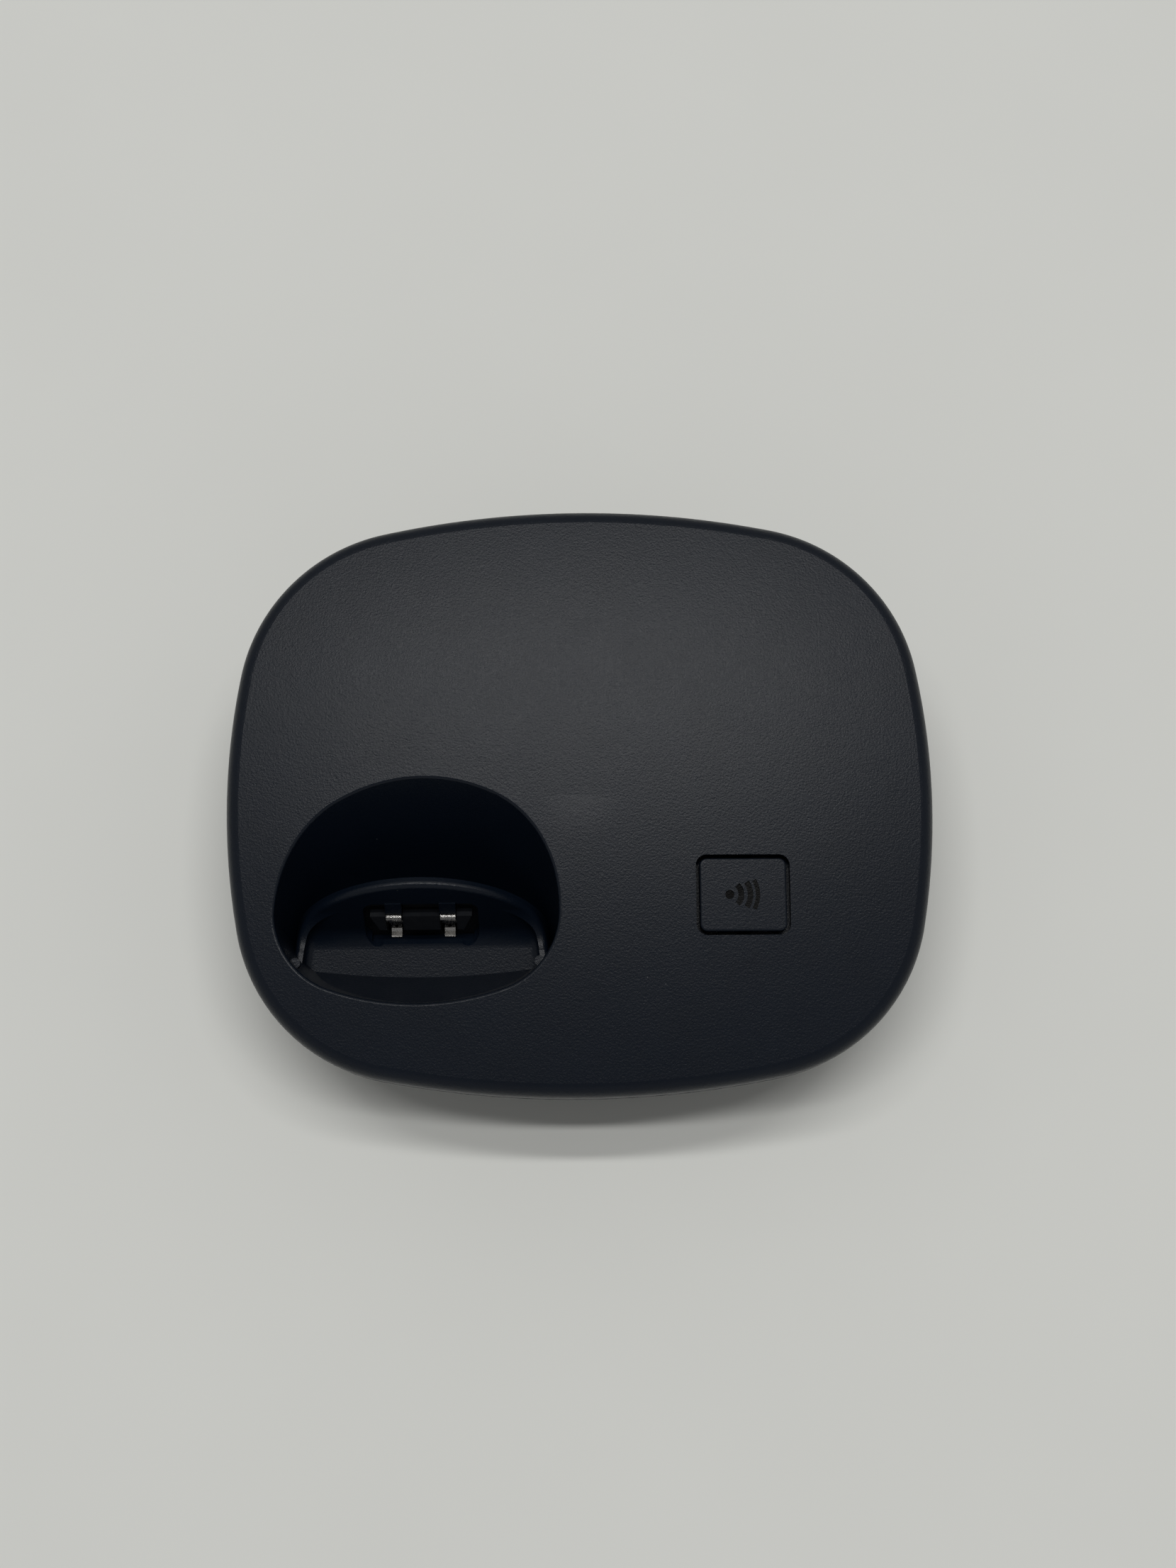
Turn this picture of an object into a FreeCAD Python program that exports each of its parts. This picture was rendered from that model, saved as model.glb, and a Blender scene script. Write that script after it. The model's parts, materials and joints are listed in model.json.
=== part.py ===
"""Charging base of a cordless phone, built as separate named pieces, in millimetres.

Frame: +Z up, +Y to the back, +X to the right; the origin is on the table, under the middle.
The top face leans 7 degrees towards the front. The handset well leans back 25 degrees.
"""
import FreeCAD, Part
import math
import os

V = FreeCAD.Vector
X_AXIS = V(1, 0, 0)
Y_AXIS = V(0, 1, 0)

# Outline of the housing, seen square on to the top face.
half_width = 62.0
half_depth = 52.0
side_radius = 126.0
end_radius = 178.0
corner_radius = 32.0

# Housing shells.
rim_height = 34.5
top_tilt = 7.0
dome_height = 6.0
dome_radius = 534.0
edge_radius = 2.7
skirt_depth = 2.6
shell_wall = 2.2
skirt_wall = 2.0
joint_gap = 0.2
base_clearance = 1.0
base_shrink = 14.0
waist_shrink = 4.0
waist_height = 15.0
base_edge_radius = 2.0
tongue_height = 2.0
tongue_wall = 1.4
fit_gap = 0.15

# Handset well, in its own frame: Y goes back, Z goes up along the way the handset slides in.
well_x = -28.4
well_lean = 25.0
well_half_width = 24.7
well_mid_y = -19.24
well_back_depth = 19.4
well_back_corner = 18.0
corner_lean = 15.0
corner_mid_y = -18.98
corner_depth = 15.78
front_corner = 14.0
front_lean = 28.5
front_wall_y = -32.3
front_wall_radius = 160.0
well_wall = 1.8
collar_end_z = -11.0
well_floor_z = -27.3
well_edge_radius = 0.5
nub_x = 21.25
nub_y = -28.2
nub_top_z = 0.4
nub_height = 1.4
nub_radius = 0.9

# Seat and backrest lip inside the well.
seat_front_y = -18.5
seat_front_z = -26.5
seat_slope = 35.0
seat_corner_radius = 4.5
rim_end_y = -17.0
rim_end_z = -20.8
lip_y = -12.4
lip_half_width = 22.9
lip_arch_z = -24.2
lip_arch_height = 16.3
lip_thickness = 1.8
rim_bead = 1.4
lip_edge_radius = 0.9
scoop_edge_radius = 2.0
hood_run = V(0, 8.4, -13.7)
hood_wall = 1.2
hood_back_y = -2.6
window_half_width = 10.2
window_top_z = -13.2
window_bottom_z = -23.0
window_corner = 1.9
foot_pocket_z = -24.05
finger_end_z = -15.7
finger_width = 2.9
finger_back_y = -11.9

# Charging contacts.
contact_x = 4.8
slot_width = 3.0
blade_width = 2.7
blade_thickness = 0.3
tail_width = 1.9
fin_outer_x = 9.05
fin_front_y = -12.65
ridge_z = -16.3
fin_lower_z = -20.2
block_half_width = 11.0
blade_path = [
    (-9.6, -15.9),
    (-12.3, -16.1),
    (-12.95, -16.25),
    (-13.1, -16.6),
    (-12.9, -17.05),
    (-10.3, -20.0),
    (-10.0, -20.8),
    (-10.2, -22.6),
    (-10.6, -23.2),
    (-11.6, -23.55),
]

# Page button, in the frame of the top face.
button_x = 28.1
button_y = -17.6
aperture_width = 16.3
aperture_depth = 13.9
aperture_corner = 1.9
button_gap = 0.65
button_edge_radius = 0.35
icon_depth = 0.25
flange_reach = 1.2
flange_thickness = 1.2
stem_radius = 2.5

# Switch under the button, on its own small board.
plunger_radius = 1.6
plunger_top = -1.2
switch_size = 6.0
switch_height = 3.4
cover_thickness = 0.3
board_thickness = 1.6
button_board_width = 17.0
button_board_depth = 22.0

# Main board and the sockets at the back.
board_z = 4.8
board_top = board_z + board_thickness
board_half_width = 43.0
board_half_depth = 32.5
floor_z = 3.0
bay_x0 = 1.0
bay_x1 = 43.0
bay_y = 33.0
bay_z0 = -1.0
bay_z1 = 24.0
bay_wall = 2.0
line_jack_x = 13.0
power_jack_x = 31.0
jack_front_y = 32.6
jack_depth = 15.0
mouth_depth = 11.5
mouth_height = 6.7
mouth_sill = 3.6
wire_pitch = 1.27
ribbon_x = 24.5
ribbon_width = 5.0
ribbon_low_y = -20.0
capacitors = {
    "capacitor_input": (21.0, -3.0, 4.0, 13.0),
    "capacitor_output": (15.0, -16.0, 3.15, 11.0),
    "capacitor_backup": (34.0, -4.5, 3.15, 11.0),
}

case_screw_points = [(4.0, -30.0), (41.4, -12.0), (40.3, 17.0), (-39.5, 18.0)]
board_screw_points = [(-38.5, 2.0), (-4.0, 27.5), (24.0, -26.0), (31.0, 6.0)]
foot_points = {
    "foot_pad_front_left": (-33.0, -25.0),
    "foot_pad_front_right": (33.0, -25.0),
    "foot_pad_rear_left": (-33.0, 25.0),
    "foot_pad_rear_right": (33.0, 25.0),
}
foot_radius = 5.0
foot_recess = 0.6
label_x0, label_x1 = -30.0, 30.0
label_y0, label_y1 = -20.0, -9.0
label_depth = 0.3

rim_frame = FreeCAD.Placement(V(0, 0, rim_height), FreeCAD.Rotation(X_AXIS, top_tilt))
well_frame = FreeCAD.Placement(V(well_x, 0, rim_height), FreeCAD.Rotation(X_AXIS, -well_lean))
corner_frame = FreeCAD.Placement(V(well_x, 0, rim_height), FreeCAD.Rotation(X_AXIS, corner_lean))
front_frame = FreeCAD.Placement(V(well_x, 0, rim_height), FreeCAD.Rotation(X_AXIS, front_lean))


def placed(shape, frame):
    return shape.transformed(frame.Matrix, True)


def box(x0, x1, y0, y1, z0, z1):
    return Part.makeBox(x1 - x0, y1 - y0, z1 - z0, V(x0, y0, z0))


def rod(x, y, z0, z1, radius):
    return Part.makeCylinder(radius, z1 - z0, V(x, y, z0))


def tube(x, y, z0, z1, outer, inner):
    return rod(x, y, z0, z1, outer).cut(rod(x, y, z0 - 1, z1 + 1, inner))


def joined(shapes):
    result = shapes[0].multiFuse(shapes[1:])
    return result.removeSplitter()


def prism(points, direction):
    """Straight-sided solid: a closed polygon pushed along a vector."""
    wire = Part.makePolygon(points + [points[0]])
    return Part.Face(wire).extrude(direction)


def side_prism(profile, x0, x1):
    """A profile of (y, z) points pushed from x0 to x1."""
    return prism([V(x0, y, z) for y, z in profile], V(x1 - x0, 0, 0))


def rounded_box(x0, x1, y0, y1, z0, z1, radius):
    """Box whose four upright edges are rounded."""
    body = box(x0, x1, y0, y1, z0, z1)
    upright = [e for e in body.Edges if abs(e.tangentAt(e.FirstParameter).z) > 0.9]
    return body.makeFillet(radius, upright)


def arc(start, middle, end):
    return Part.Arc(start, middle, end).toShape()


def housing_outline(grow, z=0.0):
    """Rounded rectangle of eight arcs; growing it changes the radii and keeps the centres."""
    side_centre = half_width - side_radius
    end_centre = half_depth - end_radius
    to_side = side_radius - corner_radius
    to_end = end_radius - corner_radius
    gap = math.hypot(side_centre, end_centre)
    along = (to_side**2 - to_end**2 + gap**2) / (2 * gap)
    across = math.sqrt(to_side**2 - along**2)
    ux, uy = -side_centre / gap, end_centre / gap
    corner = V(side_centre + along * ux - across * uy, along * uy + across * ux, 0)
    from_side = (corner - V(side_centre, 0, 0)).normalize()
    from_end = (corner - V(0, end_centre, 0)).normalize()
    radius = corner_radius + grow
    low = corner + from_side * radius
    high = corner + from_end * radius
    knee = corner + (from_side + from_end).normalize() * radius

    def at(point, sx, sy):
        return V(sx * point.x, sy * point.y, z)

    side = V(half_width + grow, 0, 0)
    end = V(0, half_depth + grow, 0)
    edges = [
        arc(at(low, 1, -1), at(side, 1, 1), at(low, 1, 1)),
        arc(at(low, 1, 1), at(knee, 1, 1), at(high, 1, 1)),
        arc(at(high, 1, 1), at(end, 1, 1), at(high, -1, 1)),
        arc(at(high, -1, 1), at(knee, -1, 1), at(low, -1, 1)),
        arc(at(low, -1, 1), at(side, -1, 1), at(low, -1, -1)),
        arc(at(low, -1, -1), at(knee, -1, -1), at(high, -1, -1)),
        arc(at(high, -1, -1), at(end, -1, -1), at(high, 1, -1)),
        arc(at(high, 1, -1), at(knee, 1, -1), at(low, 1, -1)),
    ]
    return Part.Wire(edges)


def housing_slab(grow, z0, z1):
    return Part.Face(housing_outline(grow, z0)).extrude(V(0, 0, z1 - z0))


def domed_block(shrink, drop, z0, rounding):
    """Slab under the dome, in the rim frame, with its upper edge rounded."""
    reach = dome_radius - drop
    ball = Part.makeSphere(reach, V(0, 0, dome_height - dome_radius))
    body = housing_slab(-shrink, z0, dome_height + 2).common(ball)
    upper = [e for e in body.Edges if e.BoundBox.ZMin > z0 + 0.5]
    return body.makeFillet(rounding, upper)


def half_outline(mid_y, depth, corner, grow, side):
    """One curved half of the well outline, left open straight to the other side.

    side is +1 for the back half and -1 for the front half.
    """
    half_w = well_half_width + grow
    depth += grow
    corner += grow
    far = -side * 80
    big = ((half_w - corner) ** 2 + depth**2 - corner**2) / (2 * (depth - corner))
    away = V(half_w - corner, big - depth, 0).normalize()
    join = V(half_w - corner, 0, 0) + away * corner
    knee = V(half_w - corner, 0, 0) + (away + X_AXIS).normalize() * corner

    def at(x, y):
        return V(x, mid_y + side * y, 0)

    edges = [
        arc(at(half_w, 0), at(knee.x, knee.y), at(join.x, join.y)),
        arc(at(join.x, join.y), at(0, depth), at(-join.x, join.y)),
        arc(at(-join.x, join.y), at(-knee.x, knee.y), at(-half_w, 0)),
        Part.makeLine(at(-half_w, 0), V(-half_w, far, 0)),
        Part.makeLine(V(-half_w, far, 0), V(half_w, far, 0)),
        Part.makeLine(V(half_w, far, 0), at(half_w, 0)),
    ]
    return Part.Face(Part.Wire(edges))


def well_space(grow, floor):
    """The space of the well: its back leans back, and its front corners and wall lean forward."""
    back = half_outline(well_mid_y, well_back_depth, well_back_corner, grow, 1)
    back.translate(V(0, 0, floor))
    shaft = placed(back.extrude(V(0, 0, 60)), well_frame)
    front = half_outline(corner_mid_y, corner_depth, front_corner, grow, -1)
    front.translate(V(0, 0, -60))
    corners = placed(front.extrude(V(0, 0, 90)), corner_frame)
    radius = front_wall_radius + grow
    drum = Part.makeCylinder(radius, 90, V(0, front_wall_y - grow + radius, -60))
    return shaft.common(corners).common(placed(drum, front_frame))


def above_collar_end(offset):
    half_space = box(-60, 60, -90, 60, collar_end_z + offset, 60)
    return placed(half_space, well_frame)


def button_pocket(grow, z0, z1, corner):
    half_w = aperture_width / 2 + grow
    half_d = aperture_depth / 2 + grow
    body = rounded_box(
        button_x - half_w, button_x + half_w, button_y - half_d, button_y + half_d, z0, z1, corner
    )
    return placed(body, rim_frame)


def guide_nubs():
    """Two small round nubs on the well wall, in the front corners under the opening."""
    nubs = []
    for side in (-1, 1):
        x = well_x + side * nub_x
        nub = rod(x, nub_y, nub_top_z - nub_height, nub_top_z, nub_radius)
        nubs.append(placed(nub, rim_frame).common(well_space(1.0, -40)))
    return nubs


def case_boss_top(x, y):
    return tube(x, y, 20.2, rim_height + 8, 3.2, 1.3)


def cradle_boss_points():
    return [(well_x - 13.0, 9.0), (well_x + 13.0, 9.0)]


def button_board_boss_points():
    return [(button_x, button_y - 8.6), (button_x, button_y + 8.6)]


def button_board_top():
    return plunger_top - 1.0 - switch_height


def mouth_edges(shape):
    """Edges where the well meets the dome."""
    local = placed(shape, rim_frame.inverse())
    dome_centre = V(0, 0, dome_height - dome_radius)
    found = []
    for edge, twin in zip(local.Edges, shape.Edges):
        middle = edge.valueAt((edge.FirstParameter + edge.LastParameter) / 2)
        on_dome = abs(middle.distanceToPoint(dome_centre) - dome_radius) < 0.01
        near_well = abs(middle.x - well_x) < well_half_width + 1 and -38 < middle.y < 5
        if on_dome and near_well:
            found.append(twin)
    return found


def top_shell():
    outer = placed(domed_block(0, 0, -skirt_depth, edge_radius), rim_frame)
    inner = placed(domed_block(skirt_wall, shell_wall, -skirt_depth - 1, 1.0), rim_frame)
    body = outer.cut(well_space(0, -40))
    body = body.makeFillet(well_edge_radius, mouth_edges(body))
    collar = well_space(well_wall, -40).common(above_collar_end(0))
    hanging = placed(housing_slab(-skirt_wall, -30, 0), rim_frame).common(collar)
    bosses = [case_boss_top(x, y) for x, y in case_screw_points]
    bosses += [tube(x, y, 21.0, rim_height + 8, 2.8, 1.0) for x, y in cradle_boss_points()]
    for x, y in button_board_boss_points():
        bosses.append(placed(tube(x, y, button_board_top(), 5, 2.2, 0.9), rim_frame))
    bosses = [boss.common(outer) for boss in bosses]
    hanging = hanging.cut(well_space(0, -40))
    shell = joined([body.cut(inner.cut(collar)), hanging] + bosses)
    return shell.cut(button_pocket(0, -1, 12, aperture_corner))


def base_outline(shrink, height, tilt):
    """Housing outline in a plane that leans by tilt, the given height above the table."""
    frame = FreeCAD.Placement(V(0, 0, height), FreeCAD.Rotation(X_AXIS, tilt))
    return housing_outline(-shrink).transformed(frame.Matrix, True)


def bowl(shrink):
    """Tapered body from the joint line down to the flat base, drawn in all round by shrink."""
    top = rim_height - skirt_depth - joint_gap
    sections = [
        base_outline(shrink + 0.3, top, top_tilt),
        base_outline(shrink + waist_shrink, waist_height + 1, top_tilt / 2),
        base_outline(shrink + base_shrink, base_clearance + max(shrink, 0), 0),
    ]
    return Part.makeLoft(sections, True, False)


def bay_box(grow):
    return box(
        bay_x0 - grow, bay_x1 + grow, bay_y - grow, 70, bay_z0 - grow, bay_z1 + grow
    )


def vent_slots():
    """Rows of slots through the floor that let the warm air of the power parts move."""
    slots = []
    for column in range(6):
        x = -9.0 + 3.6 * column
        slots.append(rounded_box(x - 0.8, x + 0.8, -6, 6, 0, 4, 0.7))
    return slots


def bottom_shell():
    outer = bowl(0)
    base_edges = [e for e in outer.Edges if e.BoundBox.ZMax < base_clearance + 0.2]
    outer = outer.makeFillet(base_edge_radius, base_edges)
    hollow = bowl(skirt_wall)
    hollow = hollow.common(box(-70, 70, -70, 70, floor_z, 60))
    body = outer.cut(hollow)
    bay_shell = bay_box(bay_wall).common(outer)
    posts = [rod(x, y, floor_z - 0.5, 20.0, 3.2) for x, y in case_screw_points]
    posts += [rod(x, y, floor_z - 0.5, board_z, 2.6) for x, y in board_screw_points]
    tongue = tongue_ring()
    body = joined([body, bay_shell, tongue] + posts)
    cuts = [bay_box(0)]
    cuts += [rod(x, y, 0, 16.0, 2.3) for x, y in case_screw_points]
    cuts += [rod(x, y, 0, 21.0, 1.35) for x, y in case_screw_points]
    cuts += [rod(x, y, floor_z - 1.4, board_z + 1, 0.85) for x, y in board_screw_points]
    recess_top = base_clearance + foot_recess
    cuts += [rod(x, y, 0, recess_top, foot_radius + 0.1) for x, y in foot_points.values()]
    cuts.append(label_recess())
    cuts += vent_slots()
    cuts += [jack_window(line_jack_x, 13.2, 12.6), jack_window(power_jack_x, 11.2, 11.4)]
    return body.cut(Part.makeCompound(cuts))


def tongue_ring():
    """Ring on the lower shell that locates the upper shell from inside."""
    joint_z = -skirt_depth - joint_gap
    low = joint_z - 2.0
    high = -skirt_depth + tongue_height
    root = housing_slab(-skirt_wall / 2, low, joint_z)
    ring = housing_slab(-skirt_wall - fit_gap, joint_z - 0.1, high)
    bore = housing_slab(-skirt_wall - fit_gap - tongue_wall, low - 1, high + 1)
    return placed(root.fuse(ring).cut(bore), rim_frame)


def jack_window(x, width, height):
    z = board_z + board_thickness
    clearance = 0.2
    return box(
        x - width / 2 - clearance,
        x + width / 2 + clearance,
        bay_y - bay_wall - 1,
        bay_y + 1,
        z - clearance,
        z + height + clearance,
    )


def label_recess():
    return rounded_box(
        label_x0, label_x1, label_y0, label_y1, 0, base_clearance + label_depth, 1.0
    )


def rating_label():
    gap = 0.2
    return rounded_box(
        label_x0 + gap,
        label_x1 - gap,
        label_y0 + gap,
        label_y1 - gap,
        base_clearance + 0.05,
        base_clearance + label_depth,
        0.8,
    )


def foot_pad(x, y):
    pad = rod(x, y, 0, base_clearance + foot_recess, foot_radius)
    lower = [e for e in pad.Edges if e.BoundBox.ZMax < 0.1]
    return pad.makeFillet(0.4, lower)


def lip_outline(shrink, y):
    """Arched outline of the lip, as a face across the well frame."""
    across = lip_half_width - shrink
    up = lip_arch_height - shrink
    centre = V(0, y, lip_arch_z)
    curve = Part.Ellipse(centre + V(across, 0, 0), centre + V(0, 0, up), centre)
    return Part.Face(Part.Wire(curve.toShape(-math.pi / 2, 1.5 * math.pi)))


def lip_barrel(shrink, y0, y1):
    return lip_outline(shrink, y0).extrude(V(0, y1 - y0, 0))


def lip_hood(shrink):
    """Slanting body behind the lip, which falls away from the arch towards the back."""
    slanted = lip_outline(shrink, lip_y + lip_thickness).extrude(hood_run)
    return slanted.common(box(-30, 30, lip_y + lip_thickness, hood_back_y - shrink, -34, 0))


def lip_profile():
    """Side view of the platform: level side rims and the sweep up to the lip."""
    apex_z = lip_arch_z + lip_arch_height
    back_y = lip_y + lip_thickness
    low_z = well_floor_z - 1
    rim_end = V(0, rim_end_y, rim_end_z)
    sweep_top = V(0, lip_y, -15.0)
    corners = [
        V(0, lip_y, apex_z + 1),
        V(0, back_y, apex_z + 1),
        V(0, back_y, low_z),
        V(0, -32, low_z),
        V(0, -32, rim_end_z - 6.8),
        rim_end,
    ]
    edges = [arc(rim_end, V(0, -13.3, -18.0), sweep_top)]
    previous = sweep_top
    for corner in corners:
        edges.append(Part.makeLine(previous, corner))
        previous = corner
    return Part.Face(Part.Wire(edges))


def scoop_profile():
    """Side view of the hollow in front of the lip: sloping seat, round corner, lip face."""
    slope = math.radians(seat_slope)
    radius = seat_corner_radius
    centre_y = lip_y - radius
    centre_z = seat_level(centre_y) + radius / math.cos(slope)

    def on_corner(angle):
        return V(0, centre_y + radius * math.sin(angle), centre_z - radius * math.cos(angle))

    start = on_corner(slope)
    end = V(0, lip_y, centre_z)
    points = [end, V(0, lip_y, 0), V(0, -40, 0), V(0, -40, seat_level(-40)), start]
    edges = [arc(start, on_corner((slope + math.pi / 2) / 2), end)]
    for first, second in zip(points, points[1:]):
        edges.append(Part.makeLine(first, second))
    return Part.Face(Part.Wire(edges))


def seat_level(y):
    return seat_front_z + (y - seat_front_y) * math.tan(math.radians(seat_slope))


def is_arch_edge(edge, shrink):
    """Edge on the arch of the lip, above the seat."""
    middle = edge.valueAt((edge.FirstParameter + edge.LastParameter) / 2)
    across = middle.x / (lip_half_width - shrink)
    up = (middle.z - lip_arch_z) / (lip_arch_height - shrink)
    on_arch = abs(math.hypot(across, up) - 1) < 0.001
    above_seat = middle.z > max(seat_level(middle.y) - 0.01, well_floor_z)
    return on_arch and above_seat and middle.y > -31


def seat_platform():
    """Seat, backrest lip and the hood behind it, in the well frame."""
    side = lip_profile()
    side.translate(V(-30, 0, 0))
    front = lip_barrel(0, -32, lip_y + lip_thickness).common(side.extrude(V(60, 0, 0)))
    hollow_side = scoop_profile()
    hollow_side.translate(V(-30, 0, 0))
    scoop = lip_barrel(rim_bead, -45, 0).common(hollow_side.extrude(V(60, 0, 0)))
    foot = [e for e in scoop.Edges if is_arch_edge(e, rim_bead)]
    scoop = scoop.makeFillet(scoop_edge_radius, foot)
    front = front.cut(scoop)
    floor = box(-30, 30, -20, 10, -60, well_floor_z - 1)
    body = joined([front, lip_hood(0).cut(floor)])
    rims = [e for e in body.Edges if is_arch_edge(e, 0) and not is_behind_lip(e)]
    return body.makeFillet(lip_edge_radius, rims)


def is_behind_lip(edge):
    return edge.valueAt((edge.FirstParameter + edge.LastParameter) / 2).y > lip_y + 0.3


def platform_hollow():
    """Space under the seat and inside the hood, beside the contact chamber."""
    back_y = lip_y + lip_thickness
    under = box(-30, 30, -18.0, back_y + 0.1, -34, seat_level(-18.0) - well_wall)
    space = lip_barrel(well_wall, -32, 0).common(under).fuse(lip_hood(well_wall))
    wall = block_half_width + 0.5 + well_wall
    return space.cut(box(-wall, wall, -40, 10, -50, 0))


def contact_window():
    """Opening in the lip for the contacts, with the chamber behind it, in the well frame."""
    half_w = window_half_width
    pane = box(-half_w, half_w, -15.0, -9.8, window_bottom_z, window_top_z)
    pane = pane.makeFillet(window_corner, [e for e in pane.Edges if is_corner_edge(e)])
    pocket = box(-half_w + 1, half_w - 1, -12.9, -9.8, foot_pocket_z, window_bottom_z + 1)
    parts = [pane, pocket]
    for side in (-1, 1):
        centre = V(side * (half_w - 2.1), -15.0, window_bottom_z + 1.6)
        parts.append(Part.makeCylinder(1.9, 5, centre, Y_AXIS))
    half_chamber = block_half_width + 0.5
    back_y = lip_y + lip_thickness
    parts.append(lip_hood(hood_wall).common(box(-half_chamber, half_chamber, back_y, 0, -32, 0)))
    return joined(parts)


def is_corner_edge(edge):
    """Edge of the window that runs front to back."""
    return abs(edge.tangentAt(edge.FirstParameter).y) > 0.9


def window_fingers():
    """Two short tabs that hang from the top of the window in front of the contact springs."""
    fingers = []
    for side in (-1, 1):
        x = side * contact_x
        half_w = finger_width / 2
        top = window_top_z + 0.3
        finger = box(x - half_w, x + half_w, fin_front_y, finger_back_y, finger_end_z, top)
        fingers.append(placed(finger, well_frame))
    return fingers


def cradle_ears():
    """Two tabs behind the well that take the screws into the upper shell."""
    ears = []
    for x, y in cradle_boss_points():
        arm = box(x - 3.2, x + 3.2, -8, y, 18.4, 20.8)
        ears.append(arm.fuse(rod(x, y, 18.4, 20.8, 3.2)))
    return ears


def cradle_insert():
    inside_top = placed(
        domed_block(skirt_wall + 0.1, shell_wall + 0.1, -skirt_depth - 30, 0.9), rim_frame
    )
    outer = well_space(well_wall, -40)
    below_floor = placed(box(-60, 60, -90, 60, -60, well_floor_z - well_wall), well_frame)
    tub = outer.cut(above_collar_end(-0.12)).common(inside_top)
    ears = [ear.cut(outer) for ear in cradle_ears()]
    platform = placed(seat_platform(), well_frame)
    tub = joined([tub, platform.common(well_space(0.5, -40))] + ears)
    hollow = well_space(0, -40)
    floor = placed(box(-60, 60, -90, 60, -60, well_floor_z), well_frame)
    space = hollow.cut(floor).cut(platform)
    tub = tub.cut(space).cut(below_floor)
    tub = tub.cut(placed(contact_window(), well_frame))
    tub = tub.cut(placed(platform_hollow(), well_frame))
    holes = [rod(x, y, 10, 30, 1.3) for x, y in cradle_boss_points()]
    return joined([tub.cut(Part.makeCompound(holes))] + guide_nubs() + window_fingers())


def contact_block():
    """Ribbed holder that keeps the two contact springs apart, in the well frame."""
    back = side_prism(
        [(-10.25, -14.0), (-9.6, -14.0), (-5.0, -21.9), (-5.0, -29.0), (-10.25, -29.0)],
        -block_half_width,
        block_half_width,
    )
    fin = [
        (fin_front_y, ridge_z),
        (-10.0, ridge_z - 0.5),
        (-10.0, fin_lower_z - 0.5),
        (fin_front_y, fin_lower_z),
    ]
    inner_x = contact_x - slot_width / 2
    outer_x = contact_x + slot_width / 2
    fins = [side_prism(fin, -inner_x, inner_x)]
    for side in (-1, 1):
        points = [
            V(side * outer_x, fin_front_y, ridge_z),
            V(side * fin_outer_x, fin_front_y, ridge_z),
            V(side * (outer_x + 1.2), fin_front_y, fin_lower_z),
            V(side * outer_x, fin_front_y, fin_lower_z),
        ]
        fins.append(prism(points, V(0, 2.7, 0)))
    body = joined([back] + fins)
    for side in (-1, 1):
        x = side * contact_x
        body = body.cut(box(x - slot_width / 2, x + slot_width / 2, -14, -6.6, -24.6, -10))
        body = body.cut(box(x - 1.2, x + 1.2, -9.0, -7.8, -31, -20))
    return placed(body, well_frame)


def strip(points, thickness, x, width):
    """Flat metal strip bent along (y, z) points, centred on x."""
    plus = []
    minus = []
    count = len(points)
    for k in range(count):
        y, z = points[k]
        before = points[max(k - 1, 0)]
        after = points[min(k + 1, count - 1)]
        first = V(y - before[0], z - before[1], 0)
        second = V(after[0] - y, after[1] - z, 0)
        first = first.normalize() if first.Length > 0 else second.normalize()
        second = second.normalize() if second.Length > 0 else first
        along = (first + second).normalize()
        normal = V(-along.y, along.x, 0)
        reach = thickness / 2 / max(normal.dot(V(-first.y, first.x, 0)), 0.4)
        plus.append((y + normal.x * reach, z + normal.y * reach))
        minus.append((y - normal.x * reach, z - normal.y * reach))
    return side_prism(plus + minus[::-1], x - width / 2, x + width / 2)


def charge_contact(side):
    """Bent spring blade that touches the handset's pad."""
    blade = strip(blade_path, blade_thickness, side * contact_x, blade_width)
    foot_cut = []
    for edge_side in (-1, 1):
        x = side * contact_x + edge_side * (blade_width / 2)
        foot_cut.append(box(x - 0.4, x + 0.4, -12.5, -9.0, -24.5, -21.4))
    hole = Part.makeCylinder(0.35, 3, V(side * contact_x, -11.5, -22.0), Y_AXIS)
    blade = blade.cut(Part.makeCompound(foot_cut + [hole]))
    return placed(blade, well_frame)


def contact_tail(side):
    """Fixed end of the contact strip, down through the holder to the board."""
    path = [(-9.8, -24.2), (-8.8, -24.2), (-8.4, -24.6), (-8.4, -29.8)]
    upper = placed(strip(path, blade_thickness, side * contact_x, tail_width), well_frame)
    start = tail_start(side)
    half_w = tail_width / 2
    half_t = blade_thickness / 2
    pin = box(
        start.x - half_w,
        start.x + half_w,
        start.y - half_t,
        start.y + half_t,
        board_z + 0.4,
        start.z,
    )
    return joined([upper, pin])


def tail_start(side):
    """Point where the tail of a contact turns straight down to the board."""
    return well_frame.multVec(V(side * contact_x, -8.4, -29.7))


def button_cap():
    """Cap, cut from the dome so that its top is flush with the housing."""
    half_w = aperture_width / 2 - button_gap
    half_d = aperture_depth / 2 - button_gap
    under = shell_underside_at_button() - 0.5
    cap = rounded_box(
        button_x - half_w,
        button_x + half_w,
        button_y - half_d,
        button_y + half_d,
        under,
        dome_height + 2,
        aperture_corner - button_gap,
    )
    ball = Part.makeSphere(dome_radius, V(0, 0, dome_height - dome_radius))
    cap = cap.common(ball)
    upper = [e for e in cap.Edges if e.BoundBox.ZMin > under + 1.2]
    return cap.makeFillet(button_edge_radius, upper)


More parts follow.
